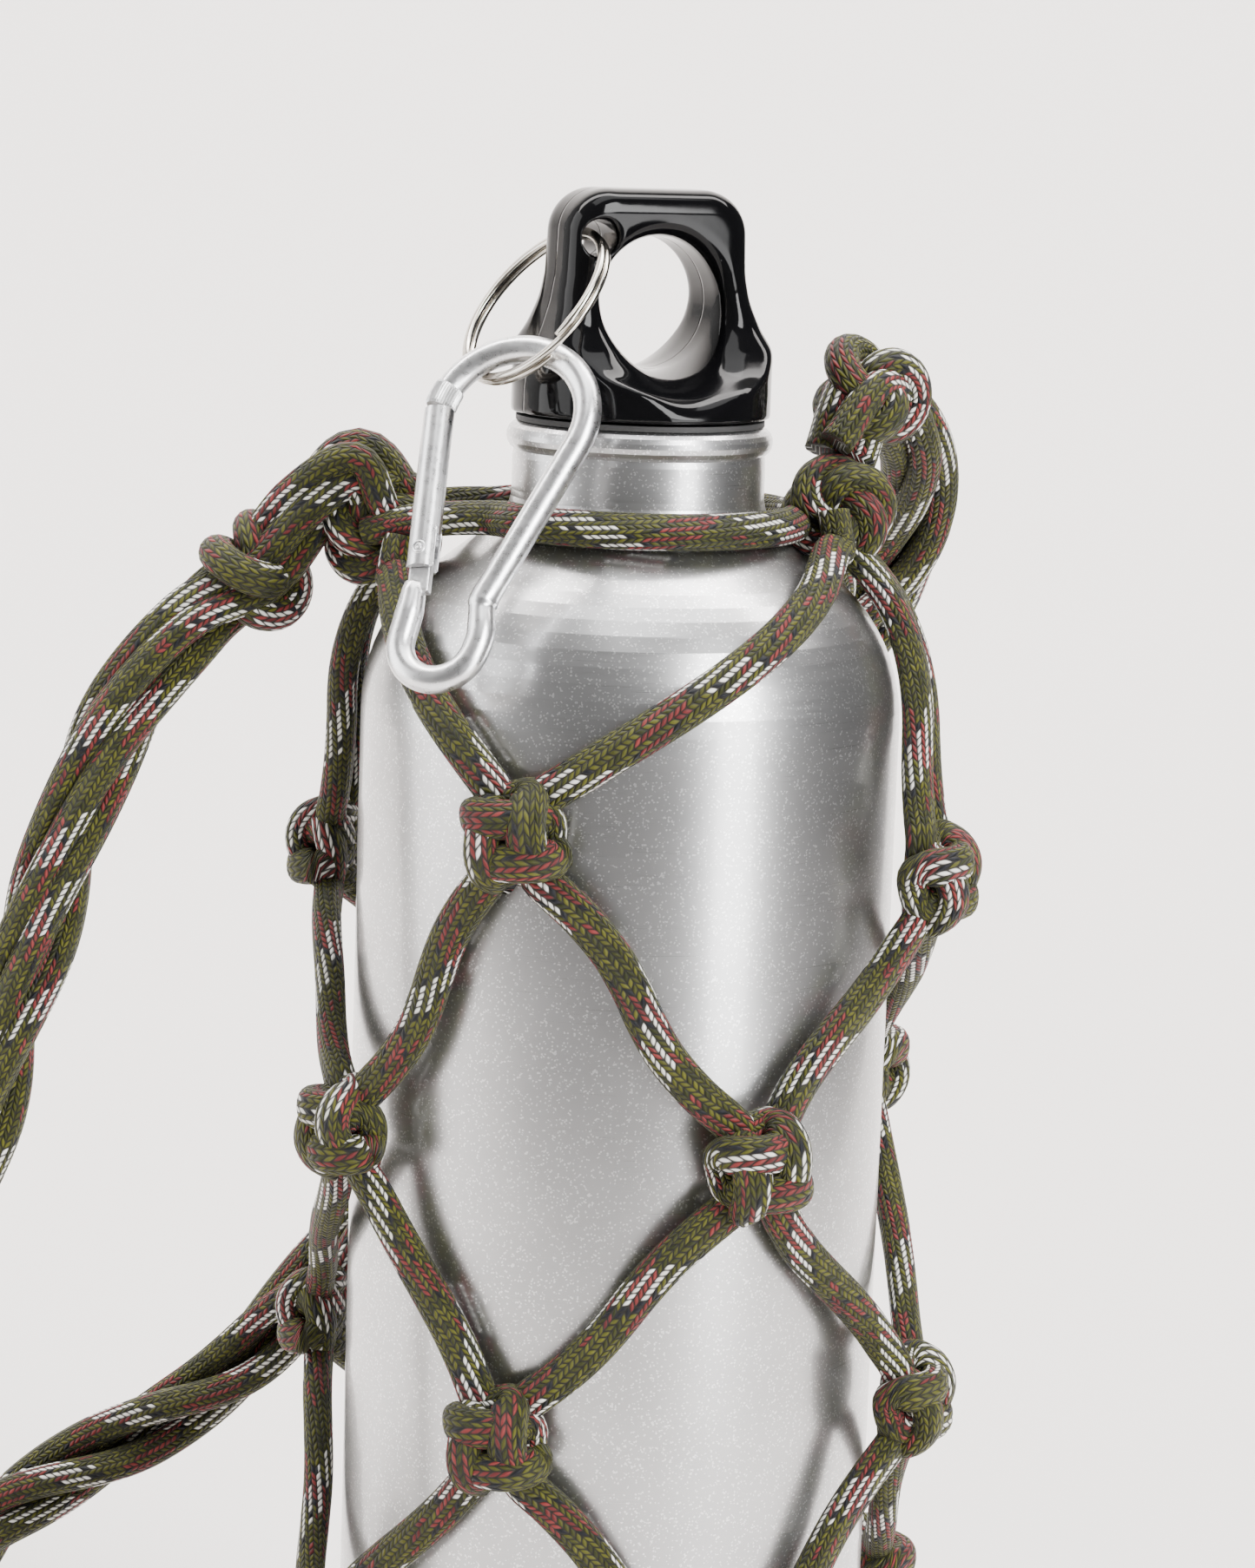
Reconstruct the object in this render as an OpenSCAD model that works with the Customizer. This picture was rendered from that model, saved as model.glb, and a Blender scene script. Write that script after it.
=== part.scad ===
// Aluminium bottle with a screw cap, a split ring, a wire carabiner and a knotted cord carrier.
// Millimetres, +Z up. Origin on the ground under the bottle's axis, front of the bottle towards -Y.

/* [Bottle] */
// Outer diameter of the body
body_d = 73; // [72:0.5:74]
// Height of the lip above the bottle's own base
lip_z = 219; // [218:0.5:220]
// Sheet thickness
wall = 0.8; // [0.6:0.1:1]

/* [Cap] */
// Diameter of the cap's skirt
skirt_d = 34.8; // [34:0.1:35]
// Height of the loop above the lip
loop_h = 31; // [30.5:0.5:32]
// Thickness of the loop
loop_t = 12; // [11:0.5:12.5]
// Radius of the finger hole
finger_r = 8.8; // [8.5:0.1:9]
// Angle of the loop about the bottle's axis
loop_yaw = 26; // [24:1:28]
// Lead of the screw thread
thread_pitch = 4; // [3.5:0.1:4.5]

/* [Ring and carabiner] */
// Outer diameter of the split ring
ring_d = 25; // [24.5:0.5:25.5]
// Diameter of the carabiner's wire
wire_d = 3.5; // [3.2:0.1:3.6]
// Diameter of the carabiner's gate
gate_d = 4; // [3.8:0.1:4.2]

/* [Carrier] */
// Diameter of one cord
cord_d = 4.6; // [4.4:0.1:4.6]
// Across a knot of the net
knot_d = 14.5; // [14:0.5:15]
// Through a knot of the net
knot_t = 9.2; // [9:0.1:9.4]
// Diameter of the twisted strap
strap_d = 11; // [10.5:0.5:11]

/* [Hidden] */
$fn = 64;
body_r = body_d / 2;
cord_r = cord_d / 2;
stand = cord_d;
base_round = 5;
foot_r = 26;
dome_h = 8;

// Outline of shoulder and neck
neck_r = 17;
shoulder_round = 24.7;
shoulder_z = 179.5;
shoulder_turn = 52;
neck_round = 6;
lip_r = 17.9;
lip_h = 4.2;

// Screw thread
seal_t = 1;
thread_bore_r = 14.5;
thread_crest_r = 13.5;
plug_r = 13.1;
plug_crest_r = 14.15;
plug_len = 12;
ridge_root = 2.3;
ridge_crest = 1.2;
insert_len = 16;
thread_z = lip_z - insert_len + 3;

// Loop of the cap
loop_top_w = 13.2;
loop_corner = 6;
skirt_h = 4.4;
flare_z = lip_z + 20;
finger_z = lip_z + loop_h - 6.1 - finger_r;
scoop = 2.2;
ring_hole_r = 2.8;
ring_hole = [-9.2, lip_z + loop_h - 6.5];

// Split ring
ring_wire = 1.2;
ring_leaf = 0.85;
ring_gap = 0.05;
ring_mid_r = (ring_d - ring_wire) / 2;
ring_lean = 38;
ring_twist = 7;
ring_turns = 1.97;
ring_top = 0.35;
ring_ends = -62;

// Carabiner, in its own plane: X across, Z up, origin at the centre of the big arc
arc_r = 10.3;
hook_r = 5.2;
hook_at = [0.7, -32.4];
spine_slope = 13;
pin_at = [-5.6, -20.6];
nose_at = [-10.2, -0.5];
hang_turn = 30;
hang_gap = 1.6;
gate_turn = atan2(nose_at[0] - pin_at[0], nose_at[1] - pin_at[1]);
gate_len = norm(nose_at - pin_at);
gate_tail = 2.4;
gate_bore = 2.7;
bore_from = 1.6;
plunger_len = 3;
spring_wire = 0.4;
tongue_t = 1.6;
lug_t = 1.4;
slot_play = 0.3;
pin_d = 1.2;
plane_tilt = -32;
plane_yaw = -20;
plane_lean = 10;
hang_side = -5;

// Net: azimuth 0 is the front and turns towards +X; each row of knots is turned by 45 against the last
row_z = [163, 126.5, 89, 52, 15];
first_turn = -20;
row_step = 45;
first_row_lift = [6, -2, 0, -6];
second_row_shift = [2, 10, 6, 9];
side_slack = 3.5;
port_x = 3.1;
port_z = 4.5;
neck_cord_r = 21.5;
neck_cord_z = 206.5;
neck_knot_d = 16;
neck_knot_t = 10;
neck_knots = [[27.5, 0, 209], [-34.2, 0, 203.5]];
neck_spread = 4.8;
base_fan = 16;
base_cord_end = 9;
base_knot_d = 20;
base_knot_t = 8;

// Strap: route of its middle from the left neck knot to the coil, and from the coil to the right one,
// with heights from the ground
strap_down = [
    [-33, 0, 211], [-38, 0, 217], [-45, 0, 211], [-51, -1, 202], [-60, -3, 195], [-70, -6, 180],
    [-76, -9, 164], [-80, -11, 150], [-84, -15, 134], [-91, -23, 104], [-100, -33, 70], [-112, -42, 40],
    [-128, -45, 22], [-145, -45, 16.5]
];
strap_up = [
    [-145, 45, 5.5], [-128, 46, 9], [-110, 47, 26], [-92, 48, 50], [-70, 50, 64], [-57, 52, 73],
    [-46, 54, 86], [-22, 55, 115], [6, 54, 150], [28, 47, 182], [39, 34, 205], [39, 20, 220],
    [31, 7, 228], [27, 1, 220]
];
coil_at = [-145, 0];
coil_r = 45;
strap_knots = [[-51, -1, 202], [31, 7, 228]];
strap_knot_d = 16;

LEGS = [1:8];
ROWS = [0:4];
SIDES = [0:3];
cord_colour = [0.33, 0.34, 0.16];

// ---- General shapes ----

function unit(v) = v / norm(v);

function arc(centre, r, from, to, steps) = [
    for (i = [0:steps])
        let (a = from + (to - from) * i / steps)
        centre + r * [cos(a), sin(a)]
];

// Point between b and c on a smooth curve through a, b, c and d
function between(a, b, c, d, t) =
    b + (c - a) * t / 2 + (2 * a - 5 * b + 4 * c - d) * t ^ 2 / 2 + (3 * b - a - 3 * c + d) * t ^ 3 / 2;

function smooth(route, steps) = let (last = len(route) - 1) [
    for (i = [0:last - 1], j = [0:steps - 1])
        between(route[max(i - 1, 0)], route[i], route[i + 1], route[min(i + 2, last)], j / steps),
    route[last]
];

// Solid through rings that all have the same number of points
module skin(rings) {
    n = len(rings[0]);
    m = len(rings);
    sides = [
        for (j = [0:m - 2], i = [0:n - 1])
            let (a = j * n + i, b = j * n + (i + 1) % n)
            each [[a, b, b + n], [a, b + n, a + n]]
    ];
    first = [for (i = [n - 1:-1:0]) i];
    last = [for (i = [0:n - 1]) (m - 1) * n + i];
    polyhedron(
        points = [for (ring = rings) each ring], faces = concat([first], sides, [last]), convexity = 12
    );
}

// Tube along a path; up is a direction that the path never follows
module tube(path, r, sides, up) {
    last = len(path) - 1;
    skin([
        for (i = [0:last])
            let (
                along = unit(path[min(i + 1, last)] - path[max(i - 1, 0)]),
                across = unit(cross(along, up)),
                out = cross(across, along)
            )
            [for (k = [0:sides - 1])
                let (a = 360 * (k + 0.5) / sides)
                path[i] + r * (cos(a) * across + sin(a) * out)]
    ]);
}

// Helical ridge of a thread, from radius r_root to r_crest
module ridge(r_root, r_crest, z, turns) {
    steps = 36 * turns;
    outward = r_crest > r_root;
    profile = [
        [r_root, -ridge_root / 2],
        [r_crest, -ridge_crest / 2],
        [r_crest, ridge_crest / 2],
        [r_root, ridge_root / 2]
    ];
    ordered = outward ? profile : [for (i = [3:-1:0]) profile[i]];
    skin([
        for (i = [0:steps])
            let (a = 10 * i)
            [for (p = ordered) [p[0] * cos(a), p[0] * sin(a), z + p[1] + thread_pitch * a / 360]]
    ]);
}

module raise() {
    translate([0, 0, stand]) children();
}

// Disc with a round rim, lying in the XZ plane
module knot_body(d, t) {
    rim = t * 0.35;
    color(cord_colour) rotate([90, 0, 0]) rotate_extrude() polygon(concat(
        [[0, -t / 2]],
        arc([d / 2 - rim, rim - t / 2], rim, -90, 0, 5),
        arc([d / 2 - rim, t / 2 - rim], rim, 0, 90, 5),
        [[0, t / 2]]
    ));
}

// ---- Bottle ----

// Outside of the bottle from the ground ring to the top of the neck, moved inwards by a distance
function bottle_side(inwards) = concat(
    arc([body_r - base_round, base_round], base_round - inwards, -90, 0, 6),
    arc([body_r - shoulder_round, shoulder_z], shoulder_round - inwards, 0, shoulder_turn, 10),
    arc([neck_r + neck_round, neck_z], neck_round + inwards, 180 + shoulder_turn, 180, 6)
);

// Height where the neck's round meets the straight neck, so that the slope joins both rounds
neck_z = let (
    from = [
        body_r - shoulder_round * (1 - cos(shoulder_turn)),
        shoulder_z + shoulder_round * sin(shoulder_turn)
    ],
    to_r = neck_r + neck_round * (1 - cos(shoulder_turn))
) from[1] + (from[0] - to_r) / tan(shoulder_turn) + neck_round * sin(shoulder_turn);

module bottle_shell() {
    dome_r = (foot_r ^ 2 + dome_h ^ 2) / (2 * dome_h);
    dome_a = asin(foot_r / dome_r);
    outside = concat(
        arc([0, dome_h - dome_r], dome_r, 90, 90 - dome_a, 8),
        bottle_side(0),
        [[neck_r, lip_z - lip_h - 0.6]],
        arc([lip_r - lip_h / 2, lip_z - lip_h / 2], lip_h / 2, -60, 90, 8)
    );
    side = bottle_side(wall);
    inside = concat(
        [[neck_r - wall, lip_z]],
        [for (i = [len(side) - 1:-1:0]) side[i]],
        arc([0, dome_h - dome_r], dome_r + wall, 90 - dome_a, 90, 8)
    );
    color([0.78, 0.78, 0.79]) raise() rotate_extrude($fn = 128) polygon(concat(outside, inside));
}

module thread_insert() {
    color([0.2, 0.2, 0.2]) raise() {
        rotate_extrude() translate([thread_bore_r, lip_z - insert_len])
            square([neck_r - wall - thread_bore_r, insert_len]);
        ridge(thread_bore_r + 0.2, thread_crest_r, thread_z, 2.5);
    }
}

// ---- Cap ----

// Half outline of the loop seen from the front: straight, then an S-shaped flare down to the skirt
function front_flare(steps) = [
    for (i = [0:steps])
        let (t = i / steps)
        [
            loop_top_w + (skirt_d / 2 - loop_top_w) * (1 + cos(180 * t)) / 2,
            lip_z + skirt_h + (flare_z - lip_z - skirt_h) * t
        ]
];

// Half outline of the loop seen from the side: straight, then a hollow sweep out to the skirt
function side_flare(steps) = [
    for (i = [0:steps])
        let (a = 90 * i / steps)
        [
            skirt_d / 2 - (skirt_d - loop_t) / 2 * sin(a),
            lip_z + skirt_h + (flare_z - lip_z - skirt_h) * (1 - cos(a))
        ]
];

module mirrored_outline(side) {
    polygon(concat(side, [for (i = [len(side) - 1:-1:0]) [-side[i][0], side[i][1]]]));
}

module cap_handle() {
    top = lip_z + loop_h;
    foot = lip_z + seal_t;
    front = concat(
        [[skirt_d / 2, foot]],
        front_flare(10),
        arc([loop_top_w - loop_corner, top - loop_corner], loop_corner, 0, 90, 6)
    );
    side = concat([[skirt_d / 2, foot]], side_flare(10), [[loop_t / 2, top]]);
    color([0.04, 0.04, 0.045]) raise() rotate([0, 0, loop_yaw]) difference() {
        intersection() {
            rotate([90, 0, 0]) linear_extrude(skirt_d, center = true) mirrored_outline(front);
            rotate([90, 0, 90]) linear_extrude(skirt_d, center = true) mirrored_outline(side);
            cylinder(d = skirt_d, h = top + 1, $fn = 128);
        }
        translate([0, 0, finger_z]) rotate([90, 0, 0]) cylinder(r = finger_r, h = skirt_d, center = true);
        for (turn = [0, 180]) rotate([0, 0, turn]) translate([0, -loop_t / 2, finger_z])
            rotate([90, 0, 0]) cylinder(r = finger_r + scoop, h = skirt_d);
        translate([ring_hole[0], 0, ring_hole[1]]) rotate([90, 0, 0])
            cylinder(r = ring_hole_r, h = skirt_d, center = true);
        translate([0, 0, foot - 1]) cylinder(r = plug_r - 1.4, h = 3.2);
    }
}

module cap_plug() {
    color([0.12, 0.12, 0.13]) raise() {
        difference() {
            translate([0, 0, lip_z - plug_len]) cylinder(r = plug_r, h = plug_len + seal_t - 0.3);
            translate([0, 0, lip_z - plug_len - 1]) cylinder(r = plug_r - 2.2, h = plug_len - 1.5);
        }
        translate([0, 0, lip_z + seal_t - 0.5]) cylinder(r = plug_r - 1.8, h = 2.4);
        ridge(plug_r - 0.2, plug_crest_r, thread_z + thread_pitch / 2, 2);
    }
}

module cap_seal() {
    color([0.55, 0.55, 0.55]) raise() translate([0, 0, lip_z]) difference() {
        cylinder(r = lip_r - 1.2, h = seal_t - 0.3);
        translate([0, 0, -1]) cylinder(r = plug_r, h = 3);
    }
}

// ---- Split ring ----

// Frame of the cap's ring hole: Y runs through the hole, X across the loop
module in_loop() {
    raise() rotate([0, 0, loop_yaw]) translate([ring_hole[0], 0, ring_hole[1]]) children();
}

// Frame of the leaning ring: origin at its middle, X along its axis
module in_ring() {
    in_loop() rotate([0, 0, ring_twist]) rotate([0, ring_lean, 0])
        translate([0, 0, ring_top - ring_mid_r]) children();
}

module split_ring() {
    leaf = ring_leaf + ring_gap;
    steps = 76;
    half = 0.5 / cos(22.5);
    color([0.75, 0.73, 0.68]) in_ring() rotate([0, 90, 0]) skin([
            for (i = [0:steps])
                let (turn = ring_turns * (i / steps - 0.5), a = 360 * turn + ring_ends)
                [for (k = [7:-1:0]) let (
                    b = 45 * (k + 0.5),
                    r = ring_mid_r + ring_wire * half * cos(b)
                ) [r * cos(a), r * sin(a), -leaf * turn + ring_leaf * half * sin(b)]]
        ]);
}

// ---- Carabiner ----

// The carabiner hangs in the ring a little in front of the ring's lowest point
hang_r = ring_mid_r - ring_wire / 2 - wire_d / 2 - hang_gap;

module in_carabiner() {
    in_ring() rotate([-hang_turn, 0, 0]) translate([0, 0, -hang_r]) rotate([hang_turn, 0, 0])
        rotate([0, -ring_lean, 0]) rotate([0, 0, plane_yaw - loop_yaw - ring_twist])
        rotate([plane_tilt, 0, 0]) rotate([0, hang_side, 0]) translate([0, 0, -arc_r])
        rotate([0, plane_lean, 0]) children();
}

module at_plane(at) {
    translate([at[0], 0, at[1]]) children();
}

// Middle of the frame's wire, from the nose over the big arc, down the spine and round the hook
function frame_path() = let (
    spine_top = arc_r * [cos(spine_slope), -sin(spine_slope)],
    spine_end = spine_top + 24 * [-sin(spine_slope), -cos(spine_slope)],
    flat = concat(
        arc([0, 0], arc_r, 180, -spine_slope, 20),
        [spine_end, spine_end + [0.2, -1.3], hook_at + [hook_r, 2.5]],
        arc(hook_at, hook_r, 0, -180, 12),
        [hook_at + [-hook_r - 0.2, 2.5], hook_at + [-hook_r - 0.3, 4.7], pin_at + [0.4, -4.6]]
    )
) [for (p = flat) [p[0], 0, p[1]]];

module carabiner_frame() {
    color([0.8, 0.8, 0.81]) in_carabiner() {
        tube(frame_path(), wire_d / 2, 12, [0, 1, 0]);
        at_plane(pin_at) difference() {
            rotate([0, gate_turn, 0]) {
                translate([-1.4, -tongue_t / 2, -6]) cube([2.8, tongue_t, 6]);
                rotate([90, 0, 0]) cylinder(r = 1.5, h = tongue_t, center = true);
            }
            rotate([90, 0, 0]) cylinder(d = pin_d + 0.1, h = 9, center = true);
        }
        at_plane(nose_at) rotate([0, gate_turn, 0])
            translate([-1.3, -lug_t / 2, -3]) cube([2.2, lug_t, 4.4]);
    }
}

module in_gate() {
    in_carabiner() at_plane(pin_at) rotate([0, gate_turn, 0]) children();
}

module carabiner_gate() {
    color([0.82, 0.82, 0.83]) in_gate() difference() {
        translate([0, 0, -gate_tail]) cylinder(d = gate_d, h = gate_len + gate_tail, $fn = 48);
        translate([0, 0, bore_from]) cylinder(d = gate_bore, h = gate_len - 8, $fn = 32);
        translate([-gate_d, -(tongue_t + slot_play) / 2, -gate_tail - 1])
            cube([2 * gate_d, tongue_t + slot_play, gate_tail + 3.4]);
        translate([1.2 - gate_d, -(lug_t + slot_play) / 2, gate_len - 3.6])
            cube([gate_d, lug_t + slot_play, 5]);
        rotate([90, 0, 0]) cylinder(d = pin_d, h = 9, center = true);
    }
}

module gate_pin() {
    color([0.7, 0.7, 0.72]) in_gate()
        rotate([90, 0, 0]) cylinder(d = pin_d, h = gate_d, center = true, $fn = 32);
}

module gate_plunger() {
    color([0.5, 0.5, 0.52]) in_gate() translate([0, 0, bore_from])
        cylinder(d = gate_bore - 0.2, h = plunger_len, $fn = 32);
}

module gate_spring() {
    coils = 7;
    steps = 12 * coils;
    coil_mid_r = 0.95;
    foot = bore_from + plunger_len + spring_wire / 2;
    length = gate_len - 8 - plunger_len - spring_wire;
    color([0.6, 0.6, 0.62]) in_gate() translate([0, 0, foot]) skin([
        for (i = [0:steps])
            let (a = 30 * i, z = length * i / steps)
            [for (k = [0:5])
                let (b = 60 * k, r = coil_mid_r + spring_wire / 2 * cos(b))
                [r * cos(a), r * sin(a), z + spring_wire / 2 * sin(b)]]
    ]);
}

// ---- Net ----

function knot_turn(row, side) = first_turn + 90 * side + row_step * (row % 2)
    + (row == 1 ? second_row_shift[side] : 0);
function knot_r(turn) = body_r + knot_t / 2 + 0.2 + side_slack * sin(turn) ^ 2;
function knot_z(row, side) = row_z[row] + (row == 0 ? first_row_lift[side] : 0);

// Radius of the middle of a cord that lies on the bottle at a height
function lying_r(z) = let (
    gap = cord_r + 0.3,
    slope_z = shoulder_z + (shoulder_round + gap) * sin(shoulder_turn),
    slope_r = body_r - shoulder_round + (shoulder_round + gap) * cos(shoulder_turn)
) z < shoulder_z ? body_r + gap
    : z < slope_z ? body_r - shoulder_round + sqrt((shoulder_round + gap) ^ 2 - (z - shoulder_z) ^ 2)
    : slope_r - (z - slope_z) * tan(shoulder_turn);

function place(turn, r, z) = [r * sin(turn), -r * cos(turn), z];

// Middle of a cord on the bottle between two places, each given as azimuth, radius and height.
// It lifts off towards a knot, and with a drop over 1 it stays high for longer
function lying(a, b, steps, drop) = [
    for (i = [0:steps])
        let (
            t = i / steps,
            z = a[2] + (b[2] - a[2]) * t ^ drop,
            off = (a[1] - lying_r(a[2])) * (1 - t) ^ 3 + (b[1] - lying_r(b[2])) * t ^ 3
        )
        place(a[0] + (b[0] - a[0]) * t, lying_r(z) + off, z)
];

// Cord i starts at a knot of the first row and moves one knot to the right in each row, or to the left
function cord_side(i) = floor((i - 1) / 2);
function cord_hand(i) = i % 2 == 1 ? 1 : -1;
function cord_turn(i, row) = let (turn = knot_turn(0, cord_side(i)) + row_step * row * cord_hand(i))
    row == 1 ? turn + second_row_shift[(cord_side(i) + (cord_hand(i) > 0 ? 0 : 3)) % 4] : turn;
function cord_z(i, row) = row == 0 ? knot_z(0, cord_side(i)) : row_z[row];

// Where the cord enters (up = 1) or leaves (up = -1) its knot of a row
function port(i, row, up) = let (turn = cord_turn(i, row), r = knot_r(turn))
    [turn - up * cord_hand(i) * asin(port_x / r), r, cord_z(i, row) + up * port_z];

// Where the cord leaves its neck knot. Each neck knot sends one cord to the front, two to its own
// side and one to the back
function neck_start(i) = let (
    aside = neck_spread * [1.5, -1.5, -0.5, 0.5, 1.5, -1.5, -0.5, 0.5][i - 1],
    right = i >= 2 && i <= 5,
    r = right ? 27.8 : 33
) [(right ? 90 : i == 1 ? -90 : 270) + asin(aside / r), r, right ? 204 : 198.5];

// From the last knot round the edge of the base
function base_leg(i) = let (
    start = port(i, 4, -1),
    centre = [body_r - base_round, base_round],
    bend_r = base_round + cord_r,
    sweep = cord_hand(i) * (base_fan - asin(port_x / start[1]))
) concat(
    [place(start[0], start[1], start[2])],
    [for (k = [0:4]) place(
        start[0] + sweep * (k + 1) / 5,
        centre[0] + bend_r * cos(22.5 * k),
        centre[1] - bend_r * sin(22.5 * k)
    )]
);

module net_tube(path) {
    tube(path, cord_r, 8, [0, 0, 1]);
}

module net_cord(i) {
    long_way = i == 1 || i == 2 || i == 5 || i == 6;
    neck_leg = lying(neck_start(i), port(i, 0, 1), 12, long_way ? 1.5 : 1);
    color(cord_colour) raise() {
        net_tube(neck_leg);
        for (row = [0:3]) net_tube(lying(port(i, row, -1), port(i, row + 1, 1), 8, 1));
        tube(base_leg(i), cord_r, 8, place(cord_turn(i, 4) + 90, 1, 0));
    }
}

module net_knot(row, side) {
    turn = knot_turn(row, side);
    raise() rotate([0, 0, turn]) translate([0, -knot_r(turn), knot_z(row, side)]) knot_body(knot_d, knot_t);
}

module neck_cord() {
    color(cord_colour) raise() translate([0, 0, neck_cord_z]) {
        rotate_extrude() translate([neck_cord_r, 0]) circle(r = cord_r, $fn = 24);
        for (y = [-2.6, 2.6]) translate([neck_knots[1][0] + 4, y, neck_knots[1][2] - neck_cord_z + 2])
            rotate([0, 70, 0]) cylinder(r = cord_r, h = 9, $fn = 24);
    }
}

module neck_knot(k) {
    raise() translate(neck_knots[k]) rotate([0, 0, 90]) knot_body(neck_knot_d, neck_knot_t);
}

module neck_knot_right() {
    neck_knot(0);
}

module neck_knot_left() {
    neck_knot(1);
}

module base_cords() {
    edge = body_r - base_round;
    color(cord_colour) for (i = LEGS)
        rotate([0, 0, cord_turn(i, 4) + cord_hand(i) * base_fan]) translate([0, -base_cord_end, cord_r])
            rotate([90, 0, 0]) cylinder(r = cord_r, h = edge - base_cord_end, $fn = 24);
}

module base_knot() {
    translate([0, 0, base_knot_t / 2 + 0.2]) rotate([90, 0, 0]) knot_body(base_knot_d, base_knot_t);
}

// ---- Strap ----

module strap_tube(route) {
    color(cord_colour) tube(smooth(route, 2), strap_d / 2, 10, [0, 1, 0]);
}

module strap_coil() {
    color(cord_colour) translate([coil_at[0], coil_at[1], 0]) rotate_extrude() translate([coil_r, 0]) {
        for (layer = [0.5, 1.5]) translate([0, layer * strap_d]) circle(d = strap_d);
        translate([-strap_d / 2, strap_d / 2]) square(strap_d);
    }
}

module strap_knot(k) {
    color(cord_colour) translate(strap_knots[k]) sphere(d = strap_knot_d);
}

bottle_shell();
thread_insert();
cap_handle();
cap_plug();
cap_seal();
split_ring();
carabiner_frame();
carabiner_gate();
gate_pin();
gate_spring();
gate_plunger();
neck_cord();
neck_knot_right();
neck_knot_left();
base_cords();
base_knot();
for (i = LEGS) net_cord(i);
for (row = ROWS, side = SIDES)
    net_knot(row, side);
strap_tube(strap_down);
strap_tube(strap_up);
strap_coil();
strap_knot(0);  // strap_knot_left
strap_knot(1);  // strap_knot_right
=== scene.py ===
import math

import bpy
import numpy as np
from mathutils import Matrix, Vector


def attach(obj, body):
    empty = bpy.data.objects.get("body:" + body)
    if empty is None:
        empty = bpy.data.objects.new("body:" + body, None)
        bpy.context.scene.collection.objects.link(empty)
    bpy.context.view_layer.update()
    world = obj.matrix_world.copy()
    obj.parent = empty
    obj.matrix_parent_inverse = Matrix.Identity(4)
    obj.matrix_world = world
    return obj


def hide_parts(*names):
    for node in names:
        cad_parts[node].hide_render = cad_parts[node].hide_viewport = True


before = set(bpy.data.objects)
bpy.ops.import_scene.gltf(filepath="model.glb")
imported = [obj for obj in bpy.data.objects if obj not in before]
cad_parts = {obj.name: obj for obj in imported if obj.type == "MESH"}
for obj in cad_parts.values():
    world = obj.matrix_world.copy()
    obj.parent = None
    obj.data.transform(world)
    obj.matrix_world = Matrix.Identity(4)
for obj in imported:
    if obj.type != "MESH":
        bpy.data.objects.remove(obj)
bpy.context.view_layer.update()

MM = 0.001
STAND = 4.6          # the bottle stands this high on the cords under it
LIP_Z = 219          # the lip of the bottle above its base
BODY_R = 36.5        # the bottle's radius
CORD_R = 2.3         # the net's cord
STITCH = 1.0         # length of one stitch of the cord's braid
COLUMNS = 22.0       # columns of stitches round the cord
CAP_TURN = 26        # the cap's loop is turned this far about Z
LOOP_Z = 16.1        # middle of the loop's window above the lip
HOLE_X, HOLE_Z = -9.2, 24.5     # the small hole for the split ring, in the cap's own frame

# ---------------------------------------------------------------- camera

camera = bpy.data.objects.new("camera", bpy.data.cameras.new("camera"))
bpy.context.collection.objects.link(camera)
CAMERA_AT = (0, -0.540, 0.2666)
CAMERA_DOWN, CAMERA_ROLL = 9.7, 2.0
camera.data.lens = 92.4
camera.data.sensor_width = 36
camera.data.clip_start = 0.01
camera.matrix_world = (
    Matrix.Translation(CAMERA_AT)
    @ Matrix.Rotation(math.radians(90 - CAMERA_DOWN), 4, "X")
    @ Matrix.Rotation(math.radians(CAMERA_ROLL), 4, "Z")
)
bpy.context.scene.camera = camera


# ---------------------------------------------------------------- small maths

def unit(v):
    v = np.asarray(v, float)
    return v / np.maximum(np.linalg.norm(v, axis=-1, keepdims=True), 1e-12)


def rot(axis, degrees):
    c, s = math.cos(math.radians(degrees)), math.sin(math.radians(degrees))
    if axis == "x":
        return np.array([[1, 0, 0], [0, c, -s], [0, s, c]])
    if axis == "y":
        return np.array([[c, 0, s], [0, 1, 0], [-s, 0, c]])
    return np.array([[c, -s, 0], [s, c, 0], [0, 0, 1]])


def place(turn, r, z):
    """A point from its azimuth (from the front towards +X), radius and height above the bottle's base."""
    a = math.radians(turn)
    return [r * math.sin(a), -r * math.cos(a), z + STAND]


def lengths(path):
    return np.r_[0, np.cumsum(np.linalg.norm(np.diff(path, axis=0), axis=1))]


def resample(path, step):
    """The same path, divided into equal steps of about this length."""
    s = lengths(path)
    n = max(int(round(s[-1] / step)), 2)
    t = np.linspace(0, s[-1], n + 1)
    return np.c_[tuple(np.interp(t, s, path[:, k]) for k in range(3))]


def curve(points, step):
    """Smooth curve through points, evenly divided."""
    p = np.array(points, float)
    q = np.vstack([2 * p[0] - p[1], p, 2 * p[-1] - p[-2]])
    t = np.linspace(0, 1, 24, endpoint=False)[:, None]
    out = []
    for i in range(len(p) - 1):
        a, b, c, d = q[i:i + 4]
        out.append(b + (c - a) * t / 2 + (2 * a - 5 * b + 4 * c - d) * t ** 2 / 2
                   + (3 * b - a - 3 * c + d) * t ** 3 / 2)
    out.append(p[-1:])
    return resample(np.vstack(out), step)


def relax(path, rounds):
    """Takes the kinks out of a path and keeps its ends."""
    path = path.copy()
    for _ in range(rounds):
        path[1:-1] = path[1:-1] * 0.5 + (path[:-2] + path[2:]) * 0.25
    return path


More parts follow.
